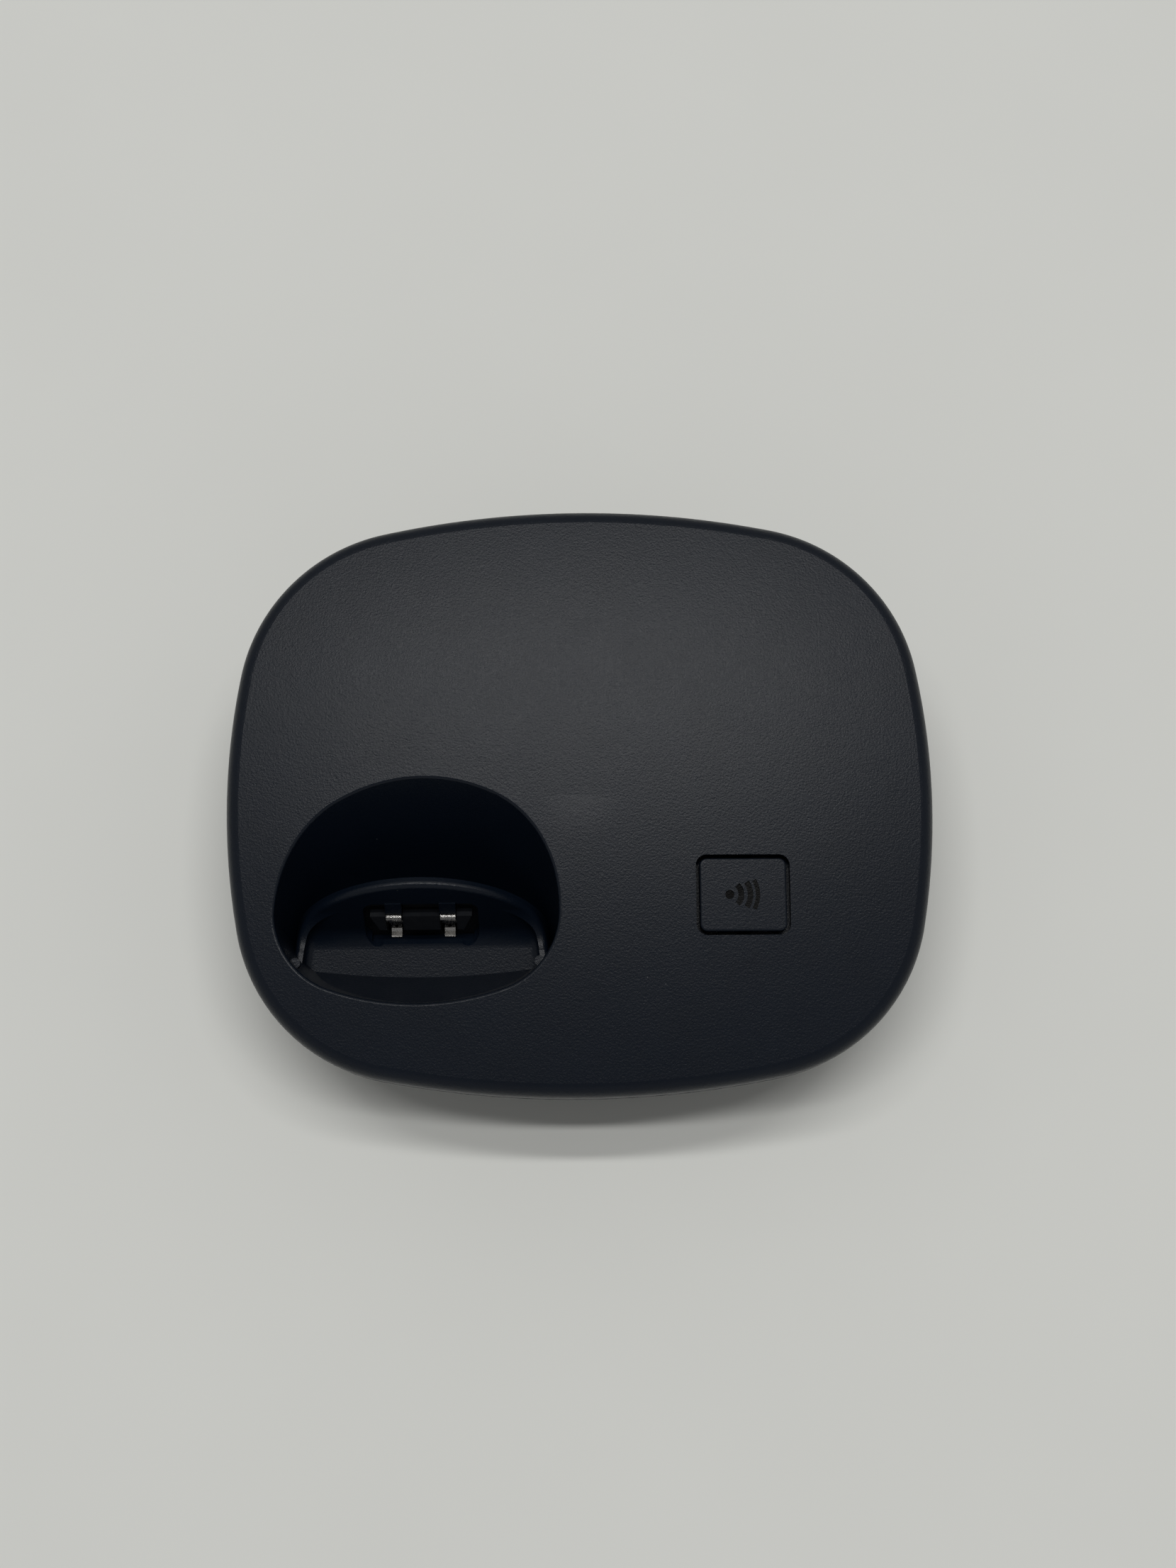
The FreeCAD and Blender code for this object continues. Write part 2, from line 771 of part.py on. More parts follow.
def icon_shapes():
    """A dot and three arcs, the sign of a radio wave."""
    depth = 3.0
    base = dome_height - 1.0 - icon_depth
    dot = Part.makeCylinder(0.78, depth, V(-2.35, 0, 0))
    pieces = [dot]
    arcs = [(1.75, 2.75, 46), (3.35, 4.3, 34), (4.75, 5.5, 29)]
    for inner, outer, half_angle in arcs:
        ring = Part.makeCylinder(outer, depth).cut(Part.makeCylinder(inner, depth))
        reach = 12.0
        spread = math.radians(half_angle)
        wedge = prism(
            [
                V(0, 0, 0),
                V(reach * math.cos(spread), -reach * math.sin(spread), 0),
                V(reach * math.cos(spread), reach * math.sin(spread), 0),
            ],
            V(0, 0, depth),
        )
        piece = ring.common(wedge)
        piece.translate(V(-2.6, 0, 0))
        pieces.append(piece)
    marks = Part.makeCompound(pieces)
    marks.translate(V(button_x, button_y, base))
    return marks


def page_button():
    cap = button_cap()
    floor_ball = Part.makeSphere(
        dome_radius - icon_depth, V(0, 0, dome_height - dome_radius)
    )
    cap = cap.cut(icon_shapes().cut(floor_ball))
    underside = shell_underside_at_button() - 0.12
    flange = rounded_box(
        button_x - aperture_width / 2 - flange_reach,
        button_x + aperture_width / 2 + flange_reach,
        button_y - aperture_depth / 2 - flange_reach,
        button_y + aperture_depth / 2 + flange_reach,
        underside - flange_thickness,
        underside,
        aperture_corner,
    )
    for x, y in button_board_boss_points():
        flange = flange.cut(rod(x, y, -2, 6, 2.5))
    stem = rod(button_x, button_y, plunger_top, underside - flange_thickness + 0.1, stem_radius)
    return placed(joined([cap, flange, stem]), rim_frame)


def shell_underside_at_button():
    """Lowest height of the dome's underside over the button's flange."""
    far_x = button_x + aperture_width / 2 + flange_reach
    far_y = button_y - aperture_depth / 2 - flange_reach
    reach = dome_radius - shell_wall
    return math.sqrt(reach**2 - far_x**2 - far_y**2) - dome_radius + dome_height


def switch_sides():
    half = switch_size / 2
    return button_x - half, button_x + half, button_y - half, button_y + half


def switch_plunger():
    base = plunger_top - 1.0
    plunger = rod(button_x, button_y, base - 0.4, plunger_top, plunger_radius)
    return placed(plunger, rim_frame)


def switch_body():
    base = button_board_top()
    top = base + switch_height
    body = rounded_box(*switch_sides(), base, top - cover_thickness, 0.4)
    well = rod(button_x, button_y, top - 1.6, top, plunger_radius + 0.3)
    return placed(body.cut(well), rim_frame)


def switch_cover():
    top = button_board_top() + switch_height
    plate = box(*switch_sides(), top - cover_thickness, top)
    plate = plate.cut(rod(button_x, button_y, top - 1, top + 1, plunger_radius + 0.12))
    return placed(plate, rim_frame)


def button_board():
    top = button_board_top()
    half_w = button_board_width / 2
    half_d = button_board_depth / 2
    board = rounded_box(
        button_x - half_w,
        button_x + half_w,
        button_y - half_d,
        button_y + half_d,
        top - board_thickness,
        top,
        1.0,
    )
    for x, y in button_board_boss_points():
        board = board.cut(rod(x, y, top - 3, top + 1, 1.2))
    return placed(board, rim_frame)


def pan_screw(x, y, head_z, length, shank, up=1):
    """Screw whose head rests at head_z and whose shank goes up, or down with up=-1."""
    head_radius = shank * 1.75
    head_height = shank * 1.2
    head = Part.makeCylinder(head_radius, head_height, V(x, y, head_z), V(0, 0, -up))
    rim = [e for e in head.Edges if abs(e.BoundBox.ZMin - (head_z - up * head_height)) < 0.2]
    head = head.makeFillet(head_height * 0.4, [e for e in rim if e.BoundBox.ZLength < 0.01])
    body = Part.makeCylinder(shank, length + 0.1, V(x, y, head_z - up * 0.1), V(0, 0, up))
    tip = [e for e in body.Edges if abs(e.BoundBox.ZMin - (head_z + up * length)) < 0.01]
    body = body.makeChamfer(shank * 0.3, [e for e in tip if e.BoundBox.ZLength < 0.01])
    drive = head_height * 0.55
    far = head_z - up * head_height
    z0, z1 = sorted((far, far + up * drive))
    cross = box(x - shank, x + shank, y - 0.22, y + 0.22, z0, z1)
    cross = cross.fuse(box(x - 0.22, x + 0.22, y - shank, y + shank, z0, z1))
    return head.fuse(body).cut(cross)


def case_screws():
    return [pan_screw(x, y, 16.0, 16.0, 1.2) for x, y in case_screw_points]


def board_screws():
    top = board_z + board_thickness
    return [pan_screw(x, y, top, 3.6, 0.8, -1) for x, y in board_screw_points]


def cradle_screws():
    return [pan_screw(x, y, 18.4, 9.0, 0.95) for x, y in cradle_boss_points()]


def button_board_screws():
    low = button_board_top() - board_thickness
    return [
        placed(pan_screw(x, y, low, 4.2, 0.85), rim_frame)
        for x, y in button_board_boss_points()
    ]


def main_board():
    shrink_x = half_width - board_half_width
    slab = housing_slab(-shrink_x, board_z, board_z + board_thickness)
    slab = slab.common(
        box(-60, 60, -board_half_depth, bay_y - bay_wall - 0.4, 0, 20)
    )
    holes = [rod(x, y, 0, 20, 1.0) for x, y in board_screw_points]
    holes += [rod(x, y, 0, 20, 3.6) for x, y in case_screw_points]
    for side in (-1, 1):
        start = tail_start(side)
        holes.append(box(start.x - 1.1, start.x + 1.1, start.y - 0.3, start.y + 0.3, 0, 20))
    return slab.cut(Part.makeCompound(holes))


def on_board(x, y, width, depth, height, radius=0.0):
    """Block standing on the main board, centred on x and y."""
    corners = (x - width / 2, x + width / 2, y - depth / 2, y + depth / 2)
    if radius > 0:
        return rounded_box(*corners, board_top, board_top + height, radius)
    return box(*corners, board_top, board_top + height)


def radio_shield():
    can = on_board(-21.5, 14, 26, 20, 3.4, 0.8)
    can = can.cut(on_board(-21.5, 14, 25.2, 19.2, 3.0))
    holes = []
    for column in range(5):
        for row in range(3):
            holes.append(rod(-28.5 + 3.5 * column, 10.5 + 3.5 * row, board_top, 20, 0.6))
    return can.cut(Part.makeCompound(holes))


def chip(x, y, body_width, body_depth, height, pins, pitch):
    """Flat package with a row of legs along the front and the back."""
    body = on_board(x, y, body_width, body_depth, height)
    body.translate(V(0, 0, 0.1))
    legs = [body]
    first = x - pitch * (pins - 1) / 2
    for k in range(pins):
        for side in (-1, 1):
            lead_y = y + side * (body_depth / 2 + 0.4)
            legs.append(on_board(first + pitch * k, lead_y, pitch * 0.45, 1.2, 0.35))
    return joined(legs)


def processor():
    return chip(-21.5, 14, 10, 10, 1.4, 9, 1.0)


def flash_memory():
    return chip(4, 14, 8, 5.2, 1.6, 5, 1.27)


def clock_crystal():
    return on_board(-2.5, 22.5, 10.5, 4.2, 3.4, 1.9)


def line_transformer():
    core = on_board(10.3, 3, 12.5, 5.0, 9.0)
    coil = on_board(10.3, 3, 9.0, 10.5, 7.6, 1.0)
    return joined([core, coil])


def power_inductor():
    block = on_board(33.5, -21, 8, 8, 4.5, 1.6)
    top = board_top + 4.5
    return block.cut(tube(33.5, -21, top - 0.4, top + 1, 3.2, 2.4))


def capacitor(x, y, radius, height):
    can = rod(x, y, board_top, board_top + height, radius)
    groove = tube(x, y, board_top + 1.2, board_top + 1.8, radius + 1, radius - 0.3)
    vent_top = board_top + height
    reach = radius * 0.6
    low = vent_top - 0.2
    vent = box(x - reach, x + reach, y - 0.15, y + 0.15, low, vent_top + 1)
    vent = vent.fuse(box(x - 0.15, x + 0.15, y - reach, y + reach, low, vent_top + 1))
    upper = [e for e in can.Edges if e.BoundBox.ZMin > vent_top - 0.1 and e.BoundBox.ZLength < 0.1]
    return can.makeFillet(0.4, upper).cut(groove).cut(vent)


def bridge_rectifier():
    return chip(25, -11.0, 5.0, 4.0, 2.4, 2, 3.2)


def surge_arrester():
    y = 11.5
    barrel = Part.makeCylinder(2.6, 7.0, V(21.5, y, board_top + 2.7), X_AXIS)
    caps = [Part.makeCylinder(2.75, 1.0, V(x, y, board_top + 2.75), X_AXIS) for x in (21.0, 28.0)]
    return joined([barrel] + caps)


def small_parts():
    """Resistors and ceramic capacitors, each a separate block."""
    blocks = []
    rows = [(-5.5, 6.0, 4, 2.6), (-34.0, -2.0, 6, 3.0), (8.0, -8.0, 3, 3.0), (-6.0, 17.5, 3, 2.6)]
    for x, y, count, pitch in rows:
        for k in range(count):
            blocks.append(on_board(x + pitch * k, y, 1.2, 2.0, 0.6))
    return blocks


def wire_columns(x, count):
    return [x + wire_pitch * (k - (count - 1) / 2) for k in range(count)]


def modular_jack(x, width, height, mouth_width, contact_count):
    """Socket body with a stepped mouth towards the back and a slot for the plug's latch."""
    front = jack_front_y
    half_w = width / 2
    body = box(x - half_w, x + half_w, front - jack_depth, front, board_top, board_top + height)
    sill = board_top + mouth_sill
    roof = sill + mouth_height
    inner_w = mouth_width / 2
    mouth = box(x - inner_w, x + inner_w, front - mouth_depth, front + 1, sill, roof)
    latch = box(x - 1.7, x + 1.7, front - mouth_depth, front + 1, board_top + 1.2, sill + 1)
    grooves = []
    for wire_x in wire_columns(x, contact_count):
        groove = box(wire_x - 0.35, wire_x + 0.35, front - 10.5, front - 3.5, roof - 0.7, roof + 0.6)
        grooves.append(groove)
    return body.cut(Part.makeCompound([mouth, latch] + grooves))


def jack_contacts(x, contact_count):
    """Gold wires of a modular socket: along the roof of the mouth, then down into it."""
    front = jack_front_y
    roof = board_top + mouth_sill + mouth_height
    path = [
        (front - 10.3, roof + 0.25),
        (front - 4.6, roof + 0.25),
        (front - 4.0, roof),
        (front - 9.0, roof - 2.2),
    ]
    return [strip(path, 0.4, wire_x, 0.45) for wire_x in wire_columns(x, contact_count)]


def antenna(x, y, lean):
    """Folded strip aerial on the board; its roof reaches towards lean (+1 back, -1 front)."""
    top = board_top + 9.0
    wall = box(x - 8, x + 8, y - 0.2, y + 0.2, board_top + 3.0, top)
    roof_y0, roof_y1 = sorted((y - 0.2 * lean, y + 4.2 * lean))
    roof = box(x - 8, x + 8, roof_y0, roof_y1, top - 0.4, top)
    feet = [box(x + k - 0.7, x + k + 0.7, y - 0.2, y + 0.2, board_top, top - 5) for k in (-6, 1)]
    slot = box(x - 4, x + 8.5, y - 1, y + 1, board_top + 5.2, board_top + 6.2)
    return joined([wall, roof] + feet).cut(slot)


def ribbon_top():
    """Middle of the underside of the small board, above the ribbon."""
    return rim_frame.multVec(V(ribbon_x, button_y, button_board_top() - board_thickness))


def ribbon_socket_upper():
    low = button_board_top() - board_thickness
    block = box(ribbon_x - 3.5, ribbon_x + 3.5, button_y - 1.5, button_y + 1.5, low - 2.0, low)
    slit = box(
        ribbon_x - ribbon_width / 2 - 0.1,
        ribbon_x + ribbon_width / 2 + 0.1,
        button_y - 0.5,
        button_y + 0.5,
        low - 3.0,
        low - 0.5,
    )
    return placed(block.cut(slit), rim_frame)


def ribbon_socket_lower():
    block = on_board(ribbon_x, ribbon_low_y, 7.0, 3.0, 2.4)
    slit = on_board(ribbon_x, ribbon_low_y, ribbon_width + 0.2, 0.5, 5)
    slit.translate(V(0, 0, 0.6))
    return block.cut(slit)


def button_ribbon():
    """Flat cable in a gentle double bend between the two boards."""
    start = ribbon_top()
    z0 = board_top + 0.8
    z1 = start.z - 1.0
    steps = 16
    path = []
    for k in range(steps + 1):
        part = k / steps
        swing = (1 - math.cos(math.pi * part)) / 2
        path.append((ribbon_low_y + (start.y - ribbon_low_y) * swing, z0 + (z1 - z0) * part))
    return strip(path, 0.25, ribbon_x, ribbon_width)


nodes = {
    "top_shell": top_shell,
    "bottom_shell": bottom_shell,
    "rating_label": rating_label,
    "cradle_insert": cradle_insert,
    "contact_block": contact_block,
    "charge_contact_left": lambda: charge_contact(-1),
    "charge_contact_right": lambda: charge_contact(1),
    "contact_tail_left": lambda: contact_tail(-1),
    "contact_tail_right": lambda: contact_tail(1),
    "page_button": page_button,
    "switch_plunger": switch_plunger,
    "switch_body": switch_body,
    "switch_cover": switch_cover,
    "button_board": button_board,
    "button_board_screws": button_board_screws,
    "case_screws": case_screws,
    "board_screws": board_screws,
    "cradle_screws": cradle_screws,
    "main_board": main_board,
    "radio_shield": radio_shield,
    "processor": processor,
    "flash_memory": flash_memory,
    "clock_crystal": clock_crystal,
    "line_transformer": line_transformer,
    "power_inductor": power_inductor,
    "bridge_rectifier": bridge_rectifier,
    "surge_arrester": surge_arrester,
    "small_parts": small_parts,
    "line_jack": lambda: modular_jack(line_jack_x, 13.2, 12.6, 9.8, 4),
    "line_jack_contacts": lambda: jack_contacts(line_jack_x, 4),
    "power_jack": lambda: modular_jack(power_jack_x, 11.2, 11.4, 7.8, 2),
    "power_jack_contacts": lambda: jack_contacts(power_jack_x, 2),
    "antenna_rear": lambda: antenna(-31.0, 26.5, -1),
    "antenna_front": lambda: antenna(16.0, -31.0, 1),
    "ribbon_socket_upper": ribbon_socket_upper,
    "ribbon_socket_lower": ribbon_socket_lower,
    "button_ribbon": button_ribbon,
}
for name, (x, y) in foot_points.items():
    nodes[name] = lambda x=x, y=y: foot_pad(x, y)
for name, size in capacitors.items():
    nodes[name] = lambda size=size: capacitor(*size)


def write_nodes():
    os.makedirs("parts", exist_ok=True)
    for name, make in nodes.items():
        shape = make()
        if isinstance(shape, list):
            shape = Part.makeCompound(shape)
        shape.exportStep(f"parts/{name}.step")
        volumes = [round(solid.Volume, 1) for solid in shape.Solids]
        print(f"{name:24} valid {shape.isValid()} solids {len(volumes)} volume {sum(volumes):.1f}")


write_nodes()
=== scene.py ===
"""Looks of a cordless phone's charging base: materials, floor, light and camera, in metres.

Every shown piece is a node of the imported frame. Each one gets a procedural material for its slot,
worked out in the node's own coordinates, which are the coordinates of the frame.
"""

import json
import math

import bpy
from mathutils import Matrix, Vector


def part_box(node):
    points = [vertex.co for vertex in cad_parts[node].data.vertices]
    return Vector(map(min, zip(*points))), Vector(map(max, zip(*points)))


MM = 0.001

# Camera, from the tilt of the top face to the lens. Angles are in radians.
AIM = Vector((0.0, 0.0, 34.5)) * MM
CAMERA_RISE = math.radians(73.0)
CAMERA_ROLL = 0.011
CAMERA_DISTANCE = 382.5 * MM
CAMERA_RIGHT = 1.51 * MM
CAMERA_UP = 2.85 * MM
LENS = 49.93
SENSOR = 36.0
NEAREST = 0.01
FARTHEST = 100.0

# Light: two long soft tubes high above, one behind the other, and a room that is dim overhead.
LAMP_HEIGHT = 2.0
LAMP_LENGTH = 1.45
LAMP_DEPTH = 0.09
# Each lamp's lean to the back in degrees, its power in watts, and whether surfaces mirror it.
LAMPS = {"lamp_overhead": (0.0, 12.3, False), "lamp_behind": (10.9, 12.3, True)}
# Brightness of the room at each height, from the horizon at 0 to straight up at 1.
ROOM = ((0.0, 0.30), (0.3, 0.34), (0.75, 0.28), (0.92, 0.06), (1.0, 0.04))

FLOOR_SIZE = 40.0
FLOOR_COLOR = (0.72, 0.725, 0.69)

# The shell's grained black plastic, and the dust on it. A speck's radius is a share of the spacing.
SHELL_COLOR = (0.0018, 0.0042, 0.0090)
SHELL_ROUGHNESS = 0.36
SHELL_SHINE = 0.3
GRAIN = 0.3 * MM
GRAIN_DEPTH = 0.032 * MM
PIT_SIZE = 1.6 * GRAIN
PIT_DEPTH = 0.6 * GRAIN_DEPTH
DUST_COLOR = (0.16, 0.16, 0.155)
DUST_SPACING = 6.5 * MM
DUST_RADIUS = 0.013
DUST_COVER = 0.5

# The icon sunk in the button, in the plane of the tilted top face. Each arc has its inner and
# outer radius, and half the angle that it spans in degrees.
TILT = math.radians(7.0)
RIM_HEIGHT = 34.5 * MM
ICON_CENTRE = (25.5 * MM, -17.6 * MM)
ICON_DOT = 0.78 * MM
ICON_DOT_SHIFT = 0.25 * MM
ICON_ARCS = (
    (1.75 * MM, 2.75 * MM, 46.0),
    (3.35 * MM, 4.30 * MM, 34.0),
    (4.75 * MM, 5.50 * MM, 29.0),
)
# Painted shade in the sunk icon: its floor is coloured black and given less sheen than the face
# around it, standing for the shade in the grooves.
ICON_PAINTED_SHADE = (0.0, 0.0, 0.0)
ICON_SHADED_SHINE = 0.1

# Small parts. A track's half width is a share of the spacing, and the label's frame line lies
# between two distances from its edge.
TRACK_SPACING = 3.2 * MM
TRACK_HALF_WIDTH = 0.07
LEG_HEIGHT = 0.4 * MM
CORE_HALF_DEPTH = 2.5 * MM
SHEET_PITCH = 0.5 * MM
WIRE_PITCH = 0.5 * MM
LABEL_LINE = (0.7 * MM, 0.95 * MM)

# A board's face, a can's bare end and its stripe are where the normal points this much their way.
BOARD_FACE = 0.7
CAN_END = 0.75
CAN_STRIPE = 0.86

# Linear red, green and blue. A pair holds the two ends of a mottled or striped colour.
RESIST = ((0.012, 0.085, 0.03), (0.02, 0.12, 0.045))
TRACK_COLOR = (0.05, 0.22, 0.08)
BOARD_EDGE = ((0.32, 0.27, 0.12), (0.45, 0.4, 0.22))
EPOXY = ((0.012, 0.012, 0.013), (0.024, 0.024, 0.026))
LEG_COLOR = (0.62, 0.61, 0.58)
SLEEVE_COLOR = (0.008, 0.012, 0.05)
STRIPE_COLOR = (0.45, 0.46, 0.5)
BARE_CAN = (0.75, 0.75, 0.76)
LAMINATIONS = ((0.05, 0.045, 0.04), (0.12, 0.11, 0.1))
TAPE = ((0.5, 0.3, 0.03), (0.66, 0.42, 0.06))
CERAMIC_TAN = (0.34, 0.26, 0.17)
CERAMIC_BLACK = (0.03, 0.03, 0.032)
JACKET = ((0.5, 0.5, 0.49), (0.66, 0.66, 0.65))
FILM = ((0.30, 0.31, 0.32), (0.36, 0.37, 0.38))
FRAME_LINE = (0.03, 0.03, 0.03)
RUBBER = ((0.012, 0.012, 0.013), (0.03, 0.03, 0.03))

# Most of a noise lies between these two values.
NOISE_LOW = 0.3
NOISE_HIGH = 0.7
NOISE_ROUGHNESS = 0.55

# A mix node's colour sockets share their names with others, so they are found by number.
MIX_COLORS = (6, 7)
MIX_RESULT = 2


class Paint:
    """One material's node tree, with short calls for the nodes that the materials share."""

    def __init__(self, name):
        self.material = bpy.data.materials.new(name)
        self.material.use_nodes = True
        self.tree = self.material.node_tree
        self.shader = self.tree.nodes["Principled BSDF"]
        self.place = self.tree.nodes.new("ShaderNodeTexCoord").outputs["Object"]

    def link(self, source, target):
        self.tree.links.new(source, target)

    def feed(self, target, value):
        """Sets an input to a number, or links it to another node's output."""
        if isinstance(value, (int, float)):
            target.default_value = value
        else:
            self.link(value, target)

    def math(self, operation, first, second=0.0):
        node = self.tree.nodes.new("ShaderNodeMath")
        node.operation = operation
        self.feed(node.inputs[0], first)
        self.feed(node.inputs[1], second)
        return node.outputs[0]

    def axis(self, name, vector=None):
        node = self.tree.nodes.new("ShaderNodeSeparateXYZ")
        self.link(vector or self.place, node.inputs[0])
        return node.outputs[name]

    def away_from(self, axis, centre):
        """Distance from a plane square to the axis."""
        return self.math("ABSOLUTE", self.math("SUBTRACT", self.axis(axis), centre))

    def wave(self, axis, pitch):
        """Sine from -1 to 1 that repeats every pitch metres along the axis."""
        return self.math("SINE", self.math("MULTIPLY", self.axis(axis), 2 * math.pi / pitch))

    def within(self, value, low, high):
        """1 where the value lies between low and high, and 0 elsewhere."""
        above = self.math("GREATER_THAN", value, low)
        below = self.math("LESS_THAN", value, high)
        return self.math("MULTIPLY", above, below)

    def normal(self):
        return self.tree.nodes.new("ShaderNodeNewGeometry").outputs["Normal"]

    def stretched(self, x, y, z):
        node = self.tree.nodes.new("ShaderNodeMapping")
        node.inputs["Scale"].default_value = (x, y, z)
        self.link(self.place, node.inputs["Vector"])
        return node.outputs[0]

    def noise(self, size, detail=2.0, vector=None):
        """Noise whose patches are about size metres across."""
        node = self.tree.nodes.new("ShaderNodeTexNoise")
        node.inputs["Scale"].default_value = 1.0 / size
        node.inputs["Detail"].default_value = detail
        node.inputs["Roughness"].default_value = NOISE_ROUGHNESS
        self.link(vector or self.place, node.inputs["Vector"])
        return node.outputs["Fac"]

    def cells(self, size, feature="F1"):
        node = self.tree.nodes.new("ShaderNodeTexVoronoi")
        node.feature = feature
        node.inputs["Scale"].default_value = 1.0 / size
        self.link(self.place, node.inputs["Vector"])
        return node.outputs["Distance"]

    def remap(self, value, low, high, out_low, out_high):
        node = self.tree.nodes.new("ShaderNodeMapRange")
        for index, number in enumerate((low, high, out_low, out_high), start=1):
            node.inputs[index].default_value = number
        self.link(value, node.inputs[0])
        return node.outputs[0]

    def spread(self, noise, out_low, out_high):
        """Takes the usual span of a noise to the span from out_low to out_high."""
        return self.remap(noise, NOISE_LOW, NOISE_HIGH, out_low, out_high)

    def mix(self, factor, first, second):
        """Colour between first and second; each is a colour or a socket."""
        node = self.tree.nodes.new("ShaderNodeMix")
        node.data_type = "RGBA"
        self.link(factor, node.inputs["Factor"])
        for index, value in zip(MIX_COLORS, (first, second)):
            if isinstance(value, tuple):
                node.inputs[index].default_value = (*value, 1.0)
            else:
                self.link(value, node.inputs[index])
        return node.outputs[MIX_RESULT]

    def color(self, socket):
        self.link(socket, self.shader.inputs["Base Color"])

    def set(self, name, value):
        self.feed(self.shader.inputs[name], value)

    def bump(self, height, distance, strength, under=None):
        """Relief of the given height; under is the relief that it lies on, if any."""
        node = self.tree.nodes.new("ShaderNodeBump")
        node.inputs["Strength"].default_value = strength
        node.inputs["Distance"].default_value = distance
        self.link(height, node.inputs["Height"])
        if under is not None:
            self.link(under, node.inputs["Normal"])
        self.link(node.outputs[0], self.shader.inputs["Normal"])
        return node.outputs[0]


def shade(color, amount):
    return tuple(channel * amount for channel in color)


def grained_plastic(name, dark=None):
    """Moulded plastic with a spark-eroded grain and a few specks of dust.

    dark(paint), when given, says where shade is painted on the surface, darker and less shiny, from
    0 to 1.
    """
    paint = Paint(name)
    cloud = paint.spread(paint.noise(14 * MM, 3.0), 0.0, 1.0)
    tone = paint.mix(cloud, shade(SHELL_COLOR, 0.93), shade(SHELL_COLOR, 1.07))
    speck = paint.math("LESS_THAN", paint.cells(DUST_SPACING), DUST_RADIUS)
    tone = paint.mix(paint.math("MULTIPLY", speck, DUST_COVER), tone, DUST_COLOR)
    if dark is None:
        shine = SHELL_SHINE
    else:
        # Painted shade: where the mask is 1, the colour goes to black and the sheen drops.
        mask = dark(paint)
        tone = paint.mix(mask, tone, ICON_PAINTED_SHADE)
        shine = paint.remap(mask, 0.0, 1.0, SHELL_SHINE, ICON_SHADED_SHINE)
    paint.color(tone)
    paint.set("Specular IOR Level", shine)

    grain = paint.noise(GRAIN)
    worn = paint.spread(paint.noise(5 * MM, 4.0), SHELL_ROUGHNESS - 0.006, SHELL_ROUGHNESS + 0.006)
    paint.set("Roughness", paint.math("ADD", worn, paint.spread(grain, -0.03, 0.03)))
    pits = paint.bump(paint.cells(PIT_SIZE), PIT_DEPTH, 0.6)
    paint.bump(grain, GRAIN_DEPTH, 1.0, pits)
    return paint.material


def icon_mask(paint):
    """1 on the button's icon, a dot and three arcs, in the plane of the tilted top face; shade is
    painted there.
    """
    drop = paint.math("SUBTRACT", paint.axis("Z"), RIM_HEIGHT)
    level = paint.math("MULTIPLY", paint.axis("Y"), math.cos(TILT))
    level = paint.math("ADD", level, paint.math("MULTIPLY", drop, math.sin(TILT)))
    along = paint.math("SUBTRACT", level, ICON_CENTRE[1])
    across = paint.math("SUBTRACT", paint.axis("X"), ICON_CENTRE[0])

    def reach(shift):
        """Distance from a point that is shifted sideways from the icon's centre."""
        moved = paint.math("SUBTRACT", across, shift)
        across_squared = paint.math("MULTIPLY", moved, moved)
        along_squared = paint.math("MULTIPLY", along, along)
        return paint.math("SQRT", paint.math("ADD", across_squared, along_squared))

    radius = reach(0.0)
    angle = paint.math("ABSOLUTE", paint.math("ARCTAN2", along, across))
    mask = paint.math("LESS_THAN", reach(ICON_DOT_SHIFT), ICON_DOT)
    for inner, outer, half_angle in ICON_ARCS:
        ring = paint.within(radius, inner, outer)
        wedge = paint.math("LESS_THAN", angle, math.radians(half_angle))
        mask = paint.math("MAXIMUM", mask, paint.math("MULTIPLY", ring, wedge))
    return mask


def smooth_plastic(name, color, roughness):
    """Plain moulded plastic: faint flow marks and fine scuffs, nearly smooth."""
    paint = Paint(name)
    paint.color(paint.mix(paint.noise(6 * MM, 3.0), shade(color, 0.85), shade(color, 1.25)))
    scuffs = paint.noise(1.5 * MM, 4.0)
    paint.set("Roughness", paint.spread(scuffs, roughness - 0.05, roughness + 0.07))
    paint.bump(paint.noise(0.5 * MM, 3.0), 0.006 * MM, 0.6)
    return paint.material


def metal(name, color, roughness, brush, direction):
    """Plated sheet metal with fine rolling lines along one direction and slight stains."""
    paint = Paint(name)
    lines = paint.noise(brush, 2.0, paint.stretched(*direction))
    stain = paint.remap(paint.noise(2.5 * MM, 3.0), 0.35, 0.7, 0.0, 1.0)
    paint.color(paint.mix(stain, color, shade(color, 0.82)))
    paint.set("Metallic", 1.0)
    paint.set("Roughness", paint.spread(lines, roughness - 0.06, roughness + 0.1))
    paint.bump(lines, 0.004 * MM, 0.5)
    return paint.material


def circuit_board(name):
    """Green resist over copper tracks, with bare resin and glass on the cut edges."""
    paint = Paint(name)
    track = paint.math("LESS_THAN", paint.cells(TRACK_SPACING, "DISTANCE_TO_EDGE"), TRACK_HALF_WIDTH)
    green = paint.mix(paint.noise(9 * MM, 3.0), *RESIST)
    face = paint.mix(track, green, TRACK_COLOR)
    weave = paint.noise(0.25 * MM, 2.0, paint.stretched(1.0, 1.0, 5.0))
    edge = paint.mix(weave, *BOARD_EDGE)
    upright = paint.math("ABSOLUTE", paint.axis("Z", paint.normal()))
    paint.color(paint.mix(paint.math("GREATER_THAN", upright, BOARD_FACE), edge, face))
    paint.set("Roughness", paint.spread(paint.noise(1.2 * MM), 0.28, 0.42))
    paint.bump(track, 0.03 * MM, 0.6, paint.bump(weave, 0.01 * MM, 0.4))
    return paint.material


